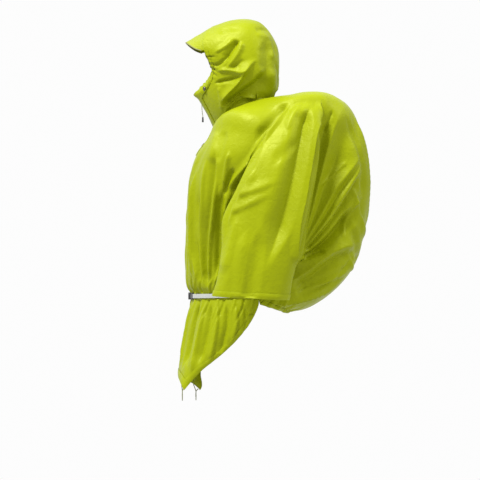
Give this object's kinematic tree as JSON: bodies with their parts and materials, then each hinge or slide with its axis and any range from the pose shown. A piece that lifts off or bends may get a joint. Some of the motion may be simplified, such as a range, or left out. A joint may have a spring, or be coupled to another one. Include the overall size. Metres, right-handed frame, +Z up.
{
  "type": "rain poncho",
  "caption": "Hooded rain poncho in coated cloth with a stiff peak, wide half sleeves, a full rounded back, and a waist belt closed over the pointed front flap",
  "frame": {"origin": "middle of the neck base, on the line of the shoulders, where the garment rests and is held up", "axes": "+Z is up, the front faces -Y and the garment's left side is +X"},
  "size_m": [0.6106, 0.5721, 1.1482],
  "materials": {
    "coated_cloth": "coated, slightly glossy woven nylon",
    "webbing": "matt ribbed webbing",
    "black_plastic": "moulded, satin",
    "dark_metal": "dark lacquered",
    "hood_cord": "braided cord",
    "loop_cord": "braided cord"
  },
  "bodies": {
    "root": {"front_panel": "coated_cloth", "back_panel": "coated_cloth", "sleeve_left": "coated_cloth", "sleeve_right": "coated_cloth", "hood_left": "coated_cloth", "hood_right": "coated_cloth", "brim": "coated_cloth", "storm_flap": "coated_cloth", "snap_collar": "dark_metal", "snap_chest": "dark_metal", "belt": "webbing", "buckle_socket": "black_plastic", "buckle_plug": "black_plastic", "belt_slider": "black_plastic", "eyelet": "dark_metal", "drawcord": "hood_cord", "cord_end": "black_plastic", "hem_loop_left": "loop_cord", "hem_loop_right": "loop_cord"}
  },
  "joints": []
}
